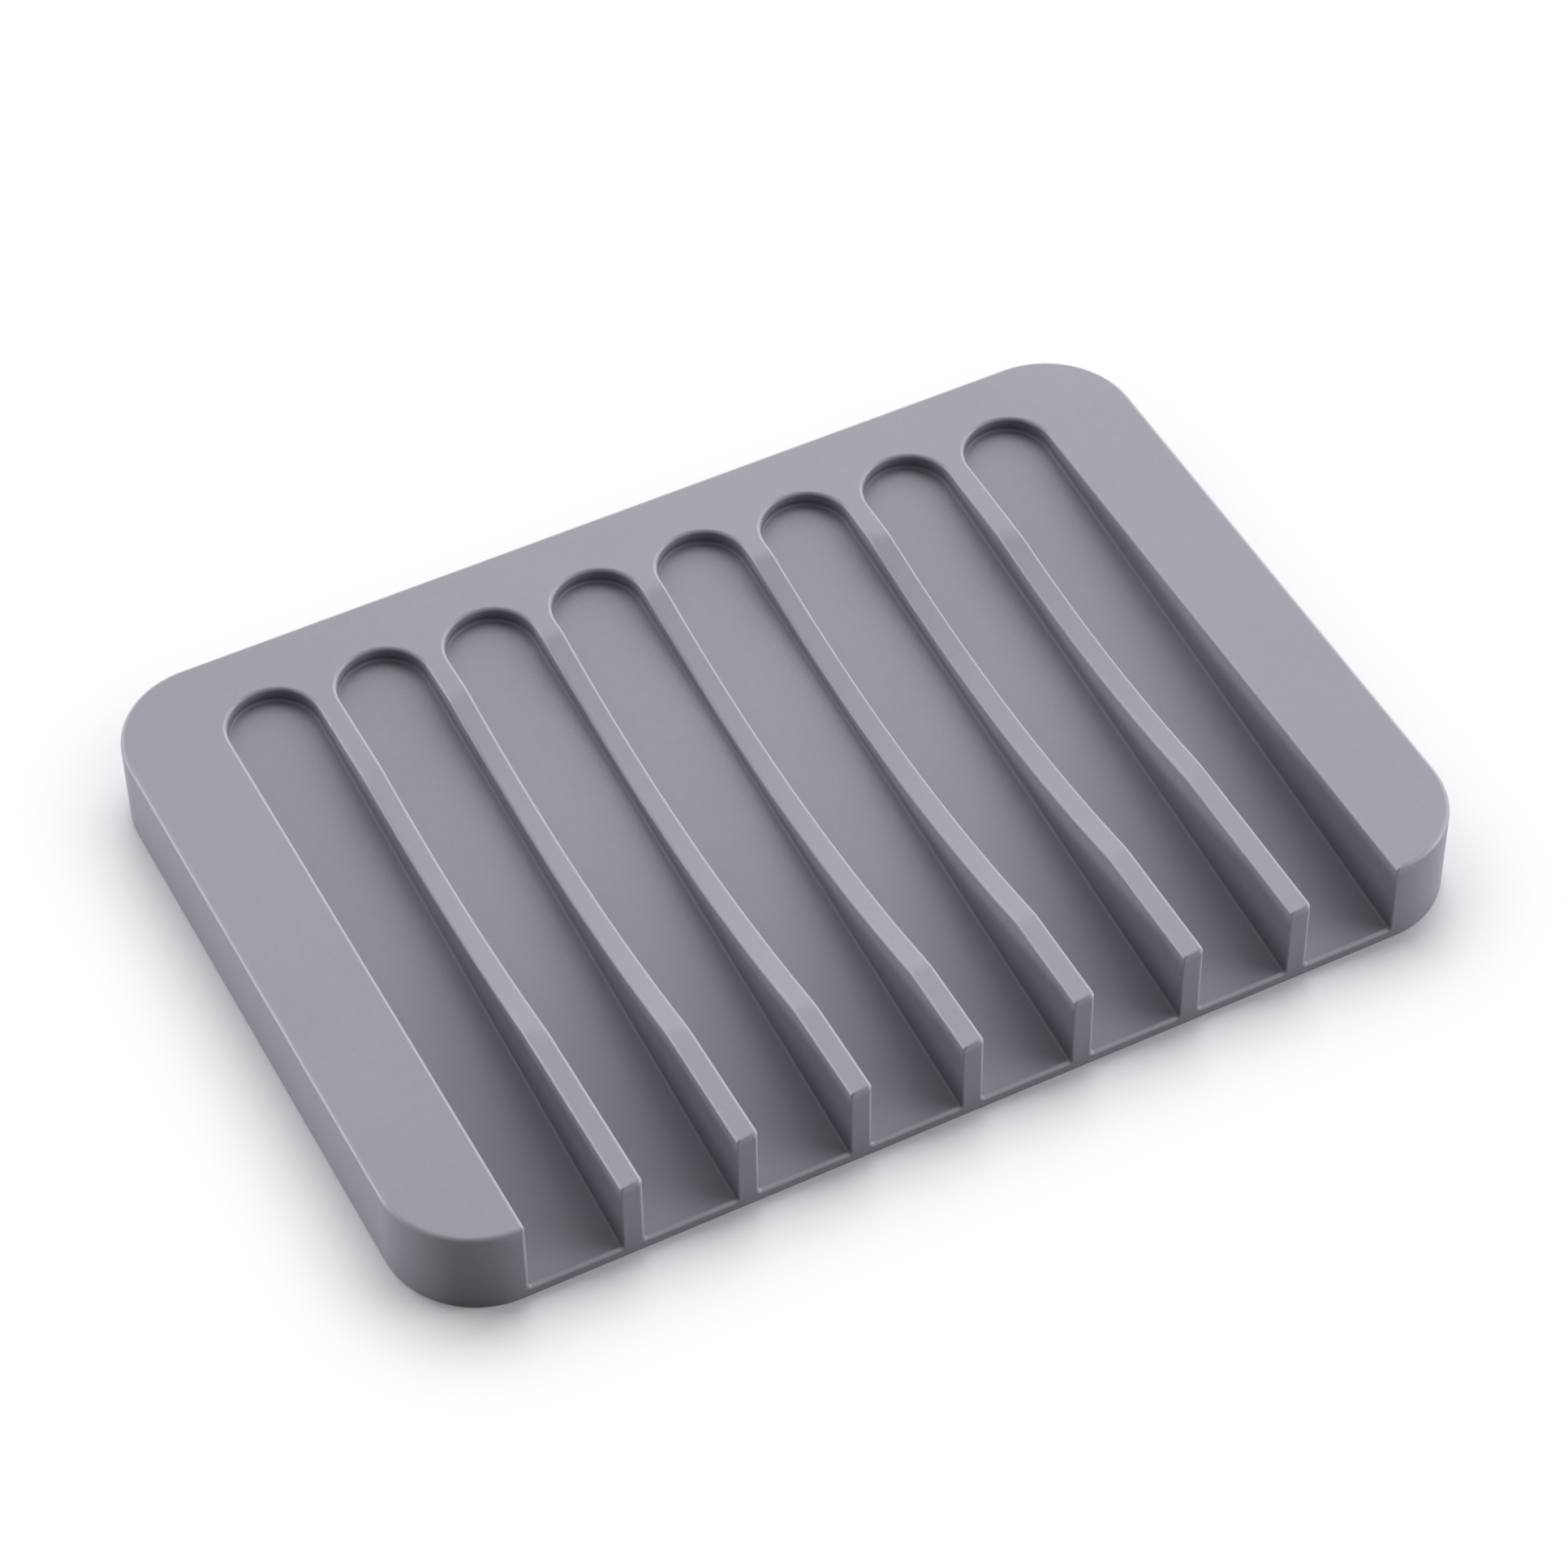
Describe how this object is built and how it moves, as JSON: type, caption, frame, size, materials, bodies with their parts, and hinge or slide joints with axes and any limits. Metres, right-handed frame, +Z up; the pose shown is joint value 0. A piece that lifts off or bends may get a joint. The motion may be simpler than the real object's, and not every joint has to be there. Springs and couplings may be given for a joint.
{
  "type": "soap dish",
  "caption": "Low silicone soap dish with rounded corners: a sloping floor drains along parallel channels to the open front edge, and scooped ribs between them hold the soap.",
  "frame": {"origin": "middle of the flat underside", "axes": "+X along the long side, to the right as seen from the open drain edge; +Y from that edge to the rear; +Z up"},
  "size_m": [0.115, 0.0804, 0.0103],
  "materials": {
    "silicone": "satin moulded silicone, grey with a slight violet cast"
  },
  "bodies": {
    "root": {"drain_base": "silicone", "left_rim": "silicone", "right_rim": "silicone", "rear_rim": "silicone", "drain_rib_1": "silicone", "drain_rib_2": "silicone", "drain_rib_3": "silicone", "drain_rib_4": "silicone", "drain_rib_5": "silicone", "drain_rib_6": "silicone", "drain_rib_7": "silicone"}
  },
  "joints": []
}
